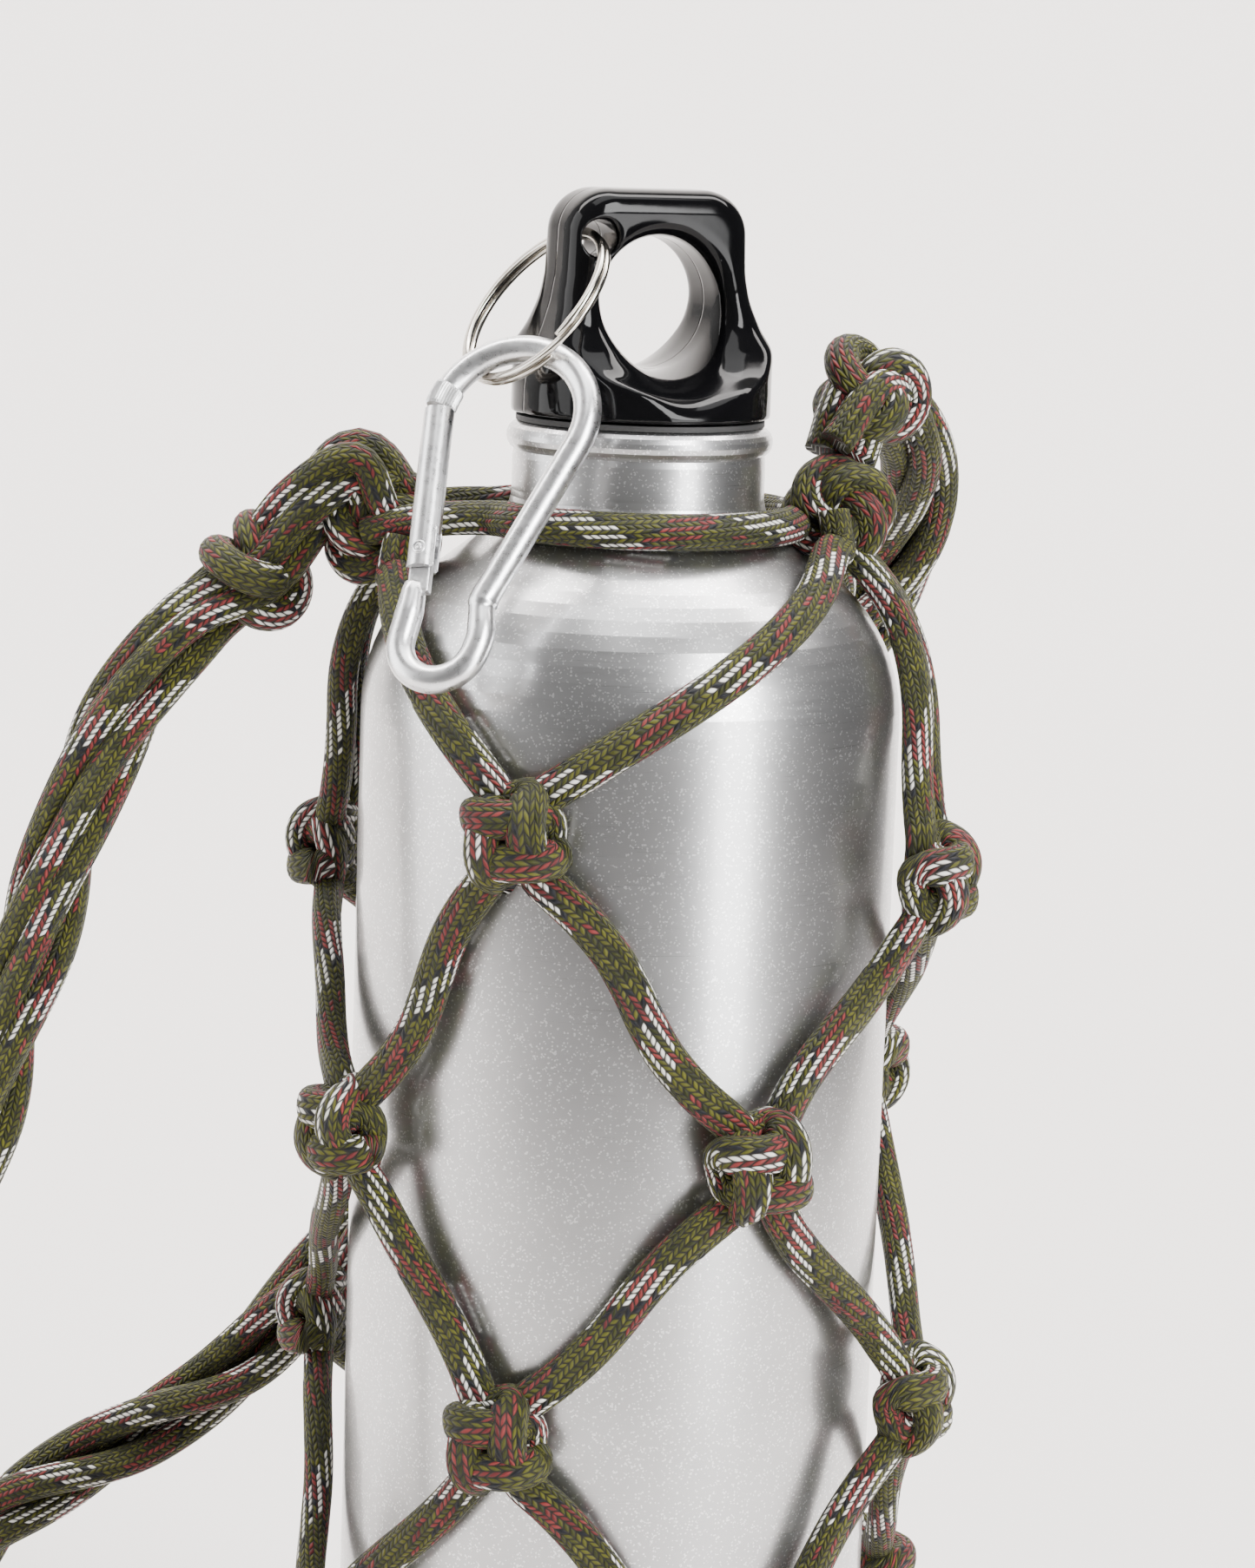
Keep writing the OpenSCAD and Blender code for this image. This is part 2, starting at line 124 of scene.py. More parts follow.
def frames(path, closed=False):
    """Tangent and two cross directions that turn as little as possible along the path."""
    if closed:
        along = unit(np.roll(path, -1, 0) - np.roll(path, 1, 0))
    else:
        along = unit(np.gradient(path, axis=0))
    side = np.zeros_like(path)
    first = np.cross(along[0], [0, 0, 1.0])
    if np.linalg.norm(first) < 0.1:
        first = np.cross(along[0], [0, 1.0, 0])
    side[0] = unit(first)
    for i in range(1, len(path)):
        v = side[i - 1] - along[i] * (side[i - 1] @ along[i])
        side[i] = v / max(np.linalg.norm(v), 1e-9)
    return along, side, np.cross(along, side)


# ---------------------------------------------------------------- mesh making

def mesh_object(name, points, faces, uvs=None, smooth=True):
    """An object from points in millimetres."""
    mesh = bpy.data.meshes.new(name)
    mesh.from_pydata((np.asarray(points) * MM).tolist(), [], faces)
    if uvs is not None:
        layer = mesh.uv_layers.new(name="UVMap")
        layer.data.foreach_set("uv", np.asarray(uvs, float).ravel())
    mesh.polygons.foreach_set("use_smooth", [smooth] * len(mesh.polygons))
    mesh.update()
    obj = bpy.data.objects.new(name, mesh)
    bpy.context.collection.objects.link(obj)
    return obj


def lying_frames(path):
    """Tangent, a direction along the bottle's surface and the surface's normal."""
    along = unit(np.gradient(path, axis=0))
    r = np.hypot(path[:, 0], path[:, 1]) + 1e-6
    lift = np.clip((path[:, 2] - 184) / 27, 0, 0.79)
    under = np.clip((11 - path[:, 2]) / 9, 0, 1)
    out = path * [1, 1, 0] / r[:, None] * (np.sqrt(1 - lift ** 2) * (1 - under))[:, None]
    out[:, 2] = lift - under
    out = relax(out, 6)
    up = unit(out - along * np.sum(out * along, axis=1)[:, None])
    return along, np.cross(up, along), up


def tube_parts(path, section, closed=False, start=0.0, scale=None, lying=False):
    """Points, faces and UVs of a section swept along a path. U runs round, V counts stitches."""
    along, side, up = lying_frames(path) if lying else frames(path, closed)
    n, m = len(path), len(section)
    twist = 0.0
    if closed:
        # share out the turn that is left when the path comes back to its start
        v = side[-1] - along[0] * (side[-1] @ along[0])
        twist = math.atan2(np.dot(np.cross(v, side[0]), along[0]), np.dot(v, side[0]))
    size = np.ones(n) if scale is None else scale
    w = twist * np.arange(n) / n
    points = np.zeros((n, m, 3))
    for k, (a, b) in enumerate(section):
        ca, cb = a * np.cos(w) - b * np.sin(w), a * np.sin(w) + b * np.cos(w)
        points[:, k] = path + side * (ca * size)[:, None] + up * (cb * size)[:, None]
    run = lengths(np.vstack([path, path[:1]]) if closed else path) / STITCH + start
    # the braid's columns turn slowly round a net cord, and start elsewhere on each
    spin = 0.006 * run + 0.37 * start if lying else 0 * run
    faces, uvs = [], []
    for i in range(n if closed else n - 1):
        j = (i + 1) % n
        for k in range(m):
            l = (k + 1) % m
            faces.append((i * m + k, i * m + l, j * m + l, j * m + k))
            a, b = k / m, (k + 1) / m
            uvs += [(a + spin[i], run[i]), (b + spin[i], run[i]),
                    (b + spin[i + 1], run[i + 1]), (a + spin[i + 1], run[i + 1])]
    if not closed:
        faces.append(tuple(range(m - 1, -1, -1)))
        uvs += [(k / m, run[0]) for k in range(m - 1, -1, -1)]
        faces.append(tuple((n - 1) * m + k for k in range(m)))
        uvs += [(k / m, run[-1]) for k in range(m)]
    return points.reshape(-1, 3), faces, uvs


def circle(r, n):
    return [(r * math.cos(2 * math.pi * k / n), r * math.sin(2 * math.pi * k / n)) for k in range(n)]


def join(parts):
    """Several lots of points, faces and UVs as one."""
    points, faces, uvs, base = [], [], [], 0
    for p, f, u in parts:
        points.append(p)
        faces += [tuple(i + base for i in face) for face in f]
        uvs += u
        base += len(p)
    return np.vstack(points), faces, uvs


def oval(a, b, n):
    """A soft cord pressed a little flat: wide and thin, with round ends."""
    out = []
    for k in range(n):
        c, s = math.cos(2 * math.pi * k / n), math.sin(2 * math.pi * k / n)
        out.append((a * math.copysign(abs(c) ** 0.9, c), b * math.copysign(abs(s) ** 0.82, s)))
    return out


def tubes(name, paths, section, closed=False, start=0.0, lying=False):
    """One object of tubes along several paths, each with its braid started elsewhere."""
    parts = [tube_parts(p, section, closed, start + 7.3 * i, None, lying) for i, p in enumerate(paths)]
    return mesh_object(name, *join(parts))


def surface_net(field, low, step):
    """Points and faces of the surface where a field on a grid is zero. It is negative inside."""
    inside = field < 0
    total = np.zeros(tuple(n - 1 for n in field.shape) + (3,))
    count = np.zeros(total.shape[:3])
    crossings = []
    for axis in range(3):
        a = np.moveaxis(field, axis, 0)
        t = np.divide(a[:-1], a[:-1] - a[1:], out=np.zeros_like(a[1:]), where=a[:-1] != a[1:])
        t = np.moveaxis(t, 0, axis)
        b = np.moveaxis(inside, axis, 0)
        change = np.moveaxis(b[:-1] != b[1:], 0, axis)
        crossings.append(change)
        where = np.argwhere(change)
        at = where.astype(float)
        at[:, axis] += t[change]
        others = [k for k in range(3) if k != axis]
        for da in (0, -1):
            for db in (0, -1):
                cell = where.copy()
                cell[:, others[0]] += da
                cell[:, others[1]] += db
                ok = np.all((cell >= 0) & (cell < np.array(total.shape[:3])), axis=1)
                np.add.at(total, tuple(cell[ok].T), at[ok])
                np.add.at(count, tuple(cell[ok].T), 1)
    used = count > 0
    index = np.full(count.shape, -1)
    index[used] = np.arange(used.sum())
    points = np.array(low) + total[used] / count[used][:, None] * step
    faces = []
    for axis in range(3):
        u, v = (axis + 1) % 3, (axis + 2) % 3
        where = np.argwhere(crossings[axis])
        ok = (where[:, u] > 0) & (where[:, v] > 0)
        ok &= (where[:, u] < count.shape[u]) & (where[:, v] < count.shape[v])
        where = where[ok]
        corners = []
        for du, dv in ((-1, -1), (0, -1), (0, 0), (-1, 0)):
            cell = where.copy()
            cell[:, u] += du
            cell[:, v] += dv
            corners.append(index[tuple(cell.T)])
        quad = np.array(corners).T
        outward = inside[tuple(where.T)]
        quad[~outward] = quad[~outward][:, ::-1]
        faces += [tuple(q) for q in quad.tolist()]
    return points, faces


# ---------------------------------------------------------------- materials

class Nodes:
    """A material's node tree with short ways to add to it."""

    def __init__(self, name):
        self.material = bpy.data.materials.new(name)
        self.material.use_nodes = True
        self.tree = self.material.node_tree
        self.shader = self.tree.nodes["Principled BSDF"]

    def add(self, kind, **values):
        node = self.tree.nodes.new(kind)
        for key, value in values.items():
            setattr(node, key, value)
        return node

    def link(self, source, target):
        self.tree.links.new(source, target)

    def put(self, slot, value):
        """A socket is linked; a number, or a colour of three numbers, becomes the slot's value."""
        if isinstance(value, bpy.types.NodeSocket):
            self.link(value, slot)
        else:
            slot.default_value = (*value, 1) if isinstance(value, tuple) else value

    def math(self, operation, a, b=None, clamp=False):
        node = self.add("ShaderNodeMath", operation=operation, use_clamp=clamp)
        self.put(node.inputs[0], a)
        if b is not None:
            self.put(node.inputs[1], b)
        return node.outputs[0]

    def times(self, a, b):
        return self.math("MULTIPLY", a, b)

    def mix(self, factor, a, b):
        node = self.add("ShaderNodeMix", data_type="RGBA")
        for slot, value in zip((node.inputs[0], node.inputs[6], node.inputs[7]), (factor, a, b)):
            self.put(slot, value)
        return node.outputs[2]

    def vector(self, x, y, z=0.0):
        node = self.add("ShaderNodeCombineXYZ")
        for slot, value in zip(node.inputs, (x, y, z)):
            self.put(slot, value)
        return node.outputs[0]

    def place(self):
        """Where the point is in the object, in metres."""
        return self.add("ShaderNodeTexCoord").outputs["Object"]

    def scaled(self, vector, scale):
        node = self.add("ShaderNodeVectorMath", operation="MULTIPLY")
        self.link(vector, node.inputs[0])
        node.inputs[1].default_value = (scale, scale, scale)
        return node.outputs[0]

    def split(self, vector):
        node = self.add("ShaderNodeSeparateXYZ")
        self.link(vector, node.inputs[0])
        return node.outputs

    def cells(self, vector, scale):
        node = self.add("ShaderNodeTexVoronoi", feature="F1")
        self.link(vector, node.inputs["Vector"])
        node.inputs["Scale"].default_value = scale
        return node.outputs

    def noise(self, vector, scale, detail=2.0, rough=0.5):
        node = self.add("ShaderNodeTexNoise")
        self.link(vector, node.inputs["Vector"])
        node.inputs["Scale"].default_value = scale
        node.inputs["Detail"].default_value = detail
        node.inputs["Roughness"].default_value = rough
        return node.outputs["Fac"]

    def random(self, vector):
        node = self.add("ShaderNodeTexWhiteNoise", noise_dimensions="3D")
        self.link(vector, node.inputs["Vector"])
        return node.outputs["Value"]

    def span(self, value, a, b, c=0.0, d=1.0):
        """A value from a to b becomes one from c to d."""
        node = self.add("ShaderNodeMapRange")
        self.link(value, node.inputs[0])
        for slot, number in zip(list(node.inputs)[1:5], (a, b, c, d)):
            slot.default_value = number
        return node.outputs[0]

    def bump(self, height, distance, strength=1.0):
        node = self.add("ShaderNodeBump")
        node.inputs["Strength"].default_value = strength
        node.inputs["Distance"].default_value = distance
        self.link(height, node.inputs["Height"])
        return node.outputs[0]

    def set(self, **values):
        """Sets the shader's inputs and gives the finished material."""
        for key, value in values.items():
            self.put(self.shader.inputs[key.replace("_", " ")], value)
        return self.material


def srgb(r, g, b):
    return tuple((c / 255 / 12.92) if c <= 10 else ((c / 255 + 0.055) / 1.055) ** 2.4 for c in (r, g, b))


def cord_material():
    """Braided sheath: columns of stitches that slant left and right in turn, white yarns in the odd columns."""
    m = Nodes("braided_cord")
    uv = m.split(m.add("ShaderNodeUVMap", uv_map="UVMap").outputs[0])
    across = m.times(uv[0], COLUMNS)
    column = m.math("FLOOR", across)
    a = m.math("FRACT", across)
    odd = m.math("FLOORED_MODULO", column, 2.0)
    pair = m.math("FLOOR", m.times(column, 0.5))
    # slant: up across an even column, down across an odd one
    flip = m.math("SUBTRACT", 1.0, a)
    lean = m.math("ADD", m.times(a, m.math("SUBTRACT", 1.0, odd)), m.times(flip, odd))
    run = m.math("ADD", uv[1], m.times(lean, 0.75))
    stitch = m.math("FLOOR", run)
    f = m.math("FRACT", run)
    # white yarns wind one way round the cord and brick ones the other, so their patches move by two stitches
    way = m.math("SUBTRACT", 1.0, m.times(odd, 2.0))
    along_yarn = m.math("ADD", stitch, m.times(m.times(pair, way), 2.0))
    step = m.math("FLOORED_MODULO", along_yarn, COLUMNS)
    cycle = m.math("FLOOR", m.math("DIVIDE", along_yarn, COLUMNS))
    chance = m.random(m.vector(stitch, column, 3.0))
    patch = m.random(m.vector(cycle, pair, 9.0))
    olive = m.mix(chance, srgb(36, 40, 4), srgb(90, 90, 22))
    white = m.mix(chance, srgb(228, 225, 215), srgb(252, 250, 244))
    brick = m.mix(chance, srgb(88, 28, 30), srgb(134, 50, 48))
    navy = srgb(12, 14, 22)
    # each patch is six to eight stitches long, often with a navy stitch at its ends
    end = m.span(patch, 0.0, 1.0, 5.5, 8.0)
    in_patch = m.math("LESS_THAN", step, end)
    accent = m.mix(odd, brick, white)
    last = m.math("GREATER_THAN", step, m.math("SUBTRACT", end, 1.3))
    edge = m.math("ADD", last, m.math("LESS_THAN", step, 0.8))
    accent = m.mix(m.math("MULTIPLY", edge, m.math("LESS_THAN", chance, 0.55), clamp=True), accent, navy)
    colour = m.mix(in_patch, olive, accent)
    # here and there a short brick patch of its own
    late = m.times(m.math("GREATER_THAN", step, 9.5), m.math("LESS_THAN", step, 11.5))
    late = m.times(late, m.math("LESS_THAN", patch, 0.45))
    colour = m.mix(late, colour, brick)
    # a bead of yarn: high in its middle and low in the gaps, with painted shade that darkens the gaps towards
    # near-black
    over = m.math("SINE", m.times(a, math.pi))
    along = m.math("SINE", m.times(f, math.pi))
    height = m.times(m.math("POWER", over, 0.8), along)
    # painted shade: the colour darkens towards near-black where a bead's height falls into the gaps
    painted_gap_shade = m.span(height, 0.13, 0.64, 0.015, 1.0)
    dark = m.mix(painted_gap_shade, (0.010, 0.009, 0.006), colour)
    fibres = m.noise(m.vector(m.times(uv[0], 260.0), m.times(run, 2.0)), 1.0, 2.0)
    normal = m.bump(m.math("ADD", height, m.times(fibres, 0.12)), 0.0003, 0.9)
    return m.set(Base_Color=dark, Normal=normal, Roughness=0.6, Sheen_Weight=0.05, Sheen_Roughness=0.4,
                 Specular_IOR_Level=0.3)


def bottle_material():
    """Clear-coated metallic lacquer over fine turning marks, with bright flakes."""
    m = Nodes("satin_lacquered_aluminium")
    p = m.place()
    x, y, z = m.split(p)
    turn = m.math("ARCTAN2", x, y)
    brushed = m.noise(m.vector(m.times(turn, 1.5), m.times(z, 9000.0)), 1.0, 3.0, 0.7)
    spark = m.add("ShaderNodeSeparateColor")
    m.link(m.cells(p, 4600)["Color"], spark.inputs[0])
    bright = m.math("GREATER_THAN", spark.outputs[0], 0.91)
    cloud = m.noise(p, 60.0, 3.0)
    grey = m.mix(m.span(cloud, 0.35, 0.65), (0.50, 0.50, 0.505), (0.56, 0.56, 0.565))
    colour = m.mix(m.times(bright, 0.7), grey, (1.0, 1.0, 1.0))
    rough = m.span(brushed, 0.3, 0.7, 0.27, 0.33)
    normal = m.bump(brushed, 0.00001, 0.12)
    return m.set(Base_Color=colour, Metallic=0.97, Roughness=rough, Normal=normal,
                 Coat_Weight=0.6, Coat_Roughness=0.07, Anisotropic=0.15)


def cap_material():
    """Gloss black plastic with the mould's parting line, a slight unevenness and a little dust."""
    m = Nodes("gloss_black_moulding")
    p = m.place()
    turned = m.add("ShaderNodeVectorRotate", rotation_type="Z_AXIS")
    m.link(p, turned.inputs["Vector"])
    turned.inputs["Angle"].default_value = math.radians(-CAP_TURN)
    line = m.span(m.math("ABSOLUTE", m.split(turned.outputs[0])[1]), 0.00005, 0.00022, 1.0, 0.0)
    soft = m.noise(p, 260.0, 2.0)
    dust = m.math("LESS_THAN", m.cells(p, 420)["Distance"], 0.035)
    colour = m.mix(dust, (0.003, 0.003, 0.0035), (0.05, 0.05, 0.05))
    height = m.math("SUBTRACT", m.times(soft, 0.05), line)
    normal = m.bump(height, 0.00012, 1.0)
    rough = m.span(m.noise(p, 90.0, 3.0), 0.3, 0.7, 0.05, 0.11)
    return m.set(Base_Color=colour, Roughness=rough, Normal=normal, IOR=1.45, Specular_IOR_Level=0.2)


def metal(name, light, dark, rough, scratch=0.00002):
    m = Nodes(name)
    p = m.place()
    fine = m.noise(m.scaled(p, 900.0), 1.0, 4.0, 0.7)
    wide = m.noise(p, 180.0, 3.0)
    colour = m.mix(m.span(wide, 0.35, 0.7), light, dark)
    return m.set(Base_Color=colour, Metallic=1.0, Roughness=m.span(fine, 0.3, 0.75, rough, rough + 0.14),
                 Normal=m.bump(fine, scratch, 0.6))


def plain(name, a, b, rough):
    m = Nodes(name)
    grain = m.noise(m.place(), 300.0, 4.0)
    return m.set(Base_Color=m.mix(grain, a, b), Roughness=m.span(grain, 0.3, 0.7, rough, rough + 0.12),
                 Normal=m.bump(grain, 0.00005, 0.5))


CORD = cord_material()
BOTTLE = bottle_material()
CAP = cap_material()
NICKEL = metal("nickel_plate", (0.74, 0.70, 0.64), (0.56, 0.52, 0.46), 0.12)
ALUMINIUM = metal("polished_aluminium", (0.90, 0.90, 0.905), (0.80, 0.80, 0.815), 0.24)
CUT = metal("cut_aluminium", (0.80, 0.80, 0.80), (0.52, 0.52, 0.53), 0.34, 0.0002)
STEEL = metal("spring_steel", (0.55, 0.55, 0.56), (0.35, 0.35, 0.36), 0.25)
INSERT = plain("grey_insert", (0.03, 0.03, 0.03), (0.06, 0.06, 0.06), 0.5)
PLUG = plain("black_plug", (0.010, 0.010, 0.011), (0.022, 0.022, 0.024), 0.3)
SEAL = plain("dark_seal", (0.02, 0.02, 0.02), (0.04, 0.04, 0.04), 0.6)


def finish_piece(obj, material, body, slot, *nodes):
    """Gives a piece its material and body, and hides the CAD nodes that it replaces. Its slot is not used."""
    obj.data.materials.append(material)
    if nodes:
        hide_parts(*nodes)
    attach(obj, body)
    return obj


def dress(node, material):
    """A CAD mesh that is seen as it is gets a material."""
    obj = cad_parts[node]
    obj.data.materials.clear()
    obj.data.materials.append(material)


# ---------------------------------------------------------------- strap, with its route first

STRAP_DOWN = [
    [-33, 0, 211], [-38, 0, 217], [-45, 0, 211], [-51, -1, 202], [-60, -3, 195], [-70, -6, 180],
    [-76, -9, 164], [-80, -11, 150], [-84, -15, 134], [-91, -23, 104], [-100, -33, 70], [-112, -42, 40],
    [-128, -45, 22], [-145, -45, 16.5],
]
COIL_R, COIL_X = 45, -145       # the coil lies on the ground beside the bottle
COIL_TOP, COIL_FALL = 16.5, 11
STRAP_UP = [
    [-145, 45, 5.5], [-128, 46, 9], [-110, 47, 26], [-92, 48, 50], [-70, 50, 64], [-57, 52, 73],
    [-46, 54, 86], [-22, 55, 115], [6, 54, 150], [28, 47, 182], [39, 34, 205], [39, 20, 220],
    [31, 7, 228], [27, 1, 220],
]
COIL = [
    [COIL_X + COIL_R * math.cos(math.radians(a)), COIL_R * math.sin(math.radians(a)),
     COIL_TOP - COIL_FALL * (-90 - a) / 540]
    for a in range(-120, -630, -30)
]


def strand_paths(route, radius, lay, count=4):
    """Strands that lie loosely round a route and turn about once in each length of lay."""
    along, side, up = frames(route)
    s = lengths(route)
    held = np.clip(np.minimum(s, s[-1] - s) / 40, 0, 1)
    out = []
    for k in range(count):
        w = 2 * math.pi * (s / lay + k / count + 0.05 * np.sin(s / 17 + 2.1 * k))
        r = radius * (0.84 + 0.16 * held) + 0.75 * held * np.sin(s / 13 + 1.7 * k)
        out.append(route + side * (r * np.cos(w))[:, None] + up * (r * np.sin(w))[:, None])
    return out


strap_route = curve(STRAP_DOWN + COIL + STRAP_UP, 1.0)
strap = tubes("strap_strands", strand_paths(strap_route, radius=3.25, lay=92), oval(2.45, 2.25, 12))
finish_piece(strap, CORD, "bottle", "cord", "strap_down", "strap_up", "strap_coil")


def knot_path(at, size, tilt, turns=2, lobes=3, fat=0.55, flat=1.0):
    """A cord wound into a knot: it goes turns times round while it passes lobes times through the middle."""
    t = np.linspace(0, 2 * math.pi, 400, endpoint=False)
    r = size * (1 + fat * np.cos(lobes * t))
    p = np.c_[r * np.cos(turns * t), r * np.sin(turns * t), size * fat * flat * np.sin(lobes * t)]
    p = p @ np.array(tilt).T + np.array(at, float)
    return resample(np.vstack([p, p[:1]]), 0.5)[:-1]


for name, at, tilt in (
    ("left", (-51, -1, 202), rot("y", 52) @ rot("x", 20)),
    ("right", (31, 7, 228), rot("x", 60) @ rot("y", 20)),
):
    path = knot_path(at, 4.0, tilt, fat=0.62)
    piece = tubes("strap_knot_cord_" + name, [path], circle(2.45, 16), closed=True)
    finish_piece(piece, CORD, "bottle", "cord", "strap_knot_" + name)


# ---------------------------------------------------------------- net

ROW_Z = [163, 126.5, 89, 52, 15]        # height of each row of knots
FIRST_TURN = -20                        # azimuth of the first knot of the top row
FIRST_LIFT = [6, -2, 0, -6]             # how much higher each knot of the top row is
SECOND_SHIFT = [2, 10, 6, 9]            # how much further round each knot of the second row is
SHOULDER = (11.8, 179.5, 24.7, 52)      # middle of the shoulder's arc (radius, height), its radius and its angle


def lying_r(z):
    """Radius at which a cord lies on the bottle at a height."""
    gap = CORD_R + 0.1
    r0, z0, rr, turn = SHOULDER
    slope_z = z0 + (rr + gap) * math.sin(math.radians(turn))
    slope_r = r0 + (rr + gap) * math.cos(math.radians(turn))
    if z < z0:
        return BODY_R + gap
    if z < slope_z:
        return r0 + math.sqrt((rr + gap) ** 2 - (z - z0) ** 2)
    return slope_r - (z - slope_z) * math.tan(math.radians(turn))


def knot_turn(row, side):
    return FIRST_TURN + 90 * side + 45 * (row % 2) + (SECOND_SHIFT[side] if row == 1 else 0)


def knot_r(turn):
    """The knots at the sides stand out a little further than those in front."""
    return BODY_R + 4.6 + 0.2 + 3.5 * math.sin(math.radians(turn)) ** 2


def cord_turn(i, row):
    """Azimuth of the knot that cord i meets in a row. Going down, odd cords wind towards +X, even ones back."""
    hand = 1 if i % 2 else -1
    side = (i - 1) // 2
    turn = knot_turn(0, side) + 45 * row * hand
    return turn + SECOND_SHIFT[(side + (0 if hand > 0 else 3)) % 4] if row == 1 else turn


def cord_z(i, row):
    return ROW_Z[row] + (FIRST_LIFT[(i - 1) // 2] if row == 0 else 0)


# One band of a knot's face: it comes round from the back, crosses the face and dives under the next band.
# Sideways, up, and depth towards the bottle
BAND = [
    (1.9, 5.2, 1.4), (2.4, 4.6, -1.5), (2.6, 2.3, -3.0), (2.7, -0.4, -2.6), (2.8, -2.6, -0.9), (2.5, -3.9, 1.3),
]


def band(quarter):
    """The band turned by quarters of a turn about the knot's middle."""
    out = []
    for x, z, y in BAND:
        for _ in range(quarter):
            x, z = z, -x
        out.append((x, z, y))
    return out


def knot_points(hand):
    """One cord's way through a knot, with two of its bands. The cord of the other hand makes the other two."""
    if hand > 0:
        return ([(-3.1, 5.0, 1.6), (-1.6, 2.2, 2.2), (1.2, -0.8, 2.3)] + band(1)
                + [(-4.7, 0.5, 2.0)] + band(3) + [(3.9, 0.2, 2.2), (3.3, -2.8, 2.0), (3.1, -5.0, 1.6)])
    return ([(3.1, 5.0, 1.6), (1.6, 2.2, 2.2), (-1.2, -0.8, 2.3), (-2.6, -3.4, 2.0)] + band(2)
            + [(0.4, 4.7, 2.0)] + band(0) + [(0.0, -3.9, 2.2), (-2.6, -4.4, 2.0), (-3.3, -5.2, 1.6)])


# Sideways bow of the legs of each cord below each row, in degrees round the bottle
BOW = {
    1: [2.5, -2, 1.5, -1], 2: [-2, 2.5, -1, 2], 3: [-1.5, 2, -2, 1], 4: [2, -1.5, 1, -2],
    5: [1.5, -2, 2, -1], 6: [-2, 1, -1.5, 2], 7: [2, -1, 1.5, -2], 8: [-1, 2, -2, 1.5],
}


def leg(a, b, steps, bow=0.0, drop=1.0):
    """Points of a cord that lies on the bottle between two places (azimuth, radius, height)."""
    out = []
    for k in range(1, steps):
        t = k / steps
        z = a[2] + (b[2] - a[2]) * t ** drop
        off = (a[1] - lying_r(a[2])) * (1 - t) ** 3 + (b[1] - lying_r(b[2])) * t ** 3
        turn = a[0] + (b[0] - a[0]) * t + bow * math.sin(2 * math.pi * t)
        out.append(place(turn, lying_r(z) + off, z))
    return out


def net_cord_path(i):
    """A cord from its neck knot, through a knot of each row, to the knot under the base."""
    hand = 1 if i % 2 else -1
    right = 2 <= i <= 5         # from the right neck knot
    aside = 4.8 * [1.5, -1.5, -0.5, 0.5, 1.5, -1.5, -0.5, 0.5][i - 1]
    r = 27.8 if right else 33
    z = 204 if right else 198.5
    turn = (90 if right else -90 if i == 1 else 270) + math.degrees(math.asin(aside / r))
    long_way = i in (1, 2, 5, 6)
    points = [place(turn - 0.3 * aside, r - 1, z + 4.5), place(turn, r, z)]
    last = (turn, r, z)
    for row in range(5):
        at, kz = cord_turn(i, row), cord_z(i, row)
        kr = knot_r(at)
        spots = [(at + math.degrees(x / kr), kr - y, kz + up) for x, up, y in knot_points(hand)]
        first = spots[0]
        if row == 0:
            points += leg(last, first, 12, 0.0, 1.5 if long_way else 1.0)
        else:
            points += leg(last, first, 7, BOW[i][row - 1])
        points += [place(*s) for s in spots]
        last = spots[-1]
    sweep = hand * (16 - math.degrees(math.asin(3.1 / last[1])))
    for k in range(5):
        a = math.radians(22.5 * k)
        points.append(place(last[0] + sweep * (k + 1) / 5, 31.5 + 7.3 * math.cos(a), 5 - 7.3 * math.sin(a)))
    end = cord_turn(i, 4) + hand * 16
    points += [place(end, r, -2.3) for r in (26, 20, 14, 8)]
    return relax(curve(points, 0.55), 2)


net_nodes = ["net_cord_%d" % i for i in range(1, 9)]
knot_nodes = ["net_knot_%d_%d" % (r, s) for r in range(1, 6) for s in range(1, 5)]
for i in range(1, 9):
    piece = tubes("net_cord_braid_%d" % i, [net_cord_path(i)], oval(2.6, 2.05, 20), start=11.0 * i, lying=True)
    extra = [n for n in knot_nodes if n.endswith("_%d" % ((i + 1) // 2))] if i % 2 else []
    if i == 1:
        extra.append("base_cords")
    finish_piece(piece, CORD, "bottle", "cord", net_nodes[i - 1], *extra)

neck_loop = curve(
    [(-36, 3, 209), (-31, 5, 210.5), (-25, 8.5, 211)]
    + [(21.5 * math.sin(math.radians(a)), -21.5 * math.cos(math.radians(a)), 211.1) for a in range(240, -61, -15)]
    + [(-25, -8.5, 210.6), (-31, -5, 209.5), (-36, -3, 208)], 0.6)
piece = tubes("neck_cord_braid", [neck_loop], oval(2.5, 2.1, 20), start=4.0, lying=True)
finish_piece(piece, CORD, "bottle", "cord", "neck_cord")

for name, at, tilt, size in (
    ("neck_knot_right", (27.0, -1.5, 212.6), rot("x", 80) @ rot("z", 20), 3.7),
    ("neck_knot_left", (-34.2, 0, 208.1), rot("x", 75) @ rot("z", 50), 4.2),
):
    path = knot_path(at, size, tilt, turns=3, lobes=4, fat=0.52)
    piece = tubes(name + "_cord", [path], circle(2.4, 16), closed=True)
    finish_piece(piece, CORD, "bottle", "cord", name)

path = knot_path((0, 0, 4.2), 5.4, np.eye(3), lobes=5, fat=0.42, flat=0.85)
piece = tubes("base_knot_cord", [path], circle(2.1, 16), closed=True)
finish_piece(piece, CORD, "bottle", "cord", "base_knot")


# ---------------------------------------------------------------- cap

def smooth_max(a, b, k):
    """The larger of two distances, with the edge between them rounded over about k."""
    h = np.maximum(k - np.abs(a - b), 0) / k
    return np.maximum(a, b) + h * h * k / 4


def profile(z, heights, values):
    """A value that changes smoothly with height."""
    grid = np.arange(-4, 40, 0.1)
    table = np.interp(grid, heights, values)
    kernel = np.hanning(25)
    return np.interp(z, grid, np.convolve(np.pad(table, 12, mode="edge"), kernel / kernel.sum(), "valid"))


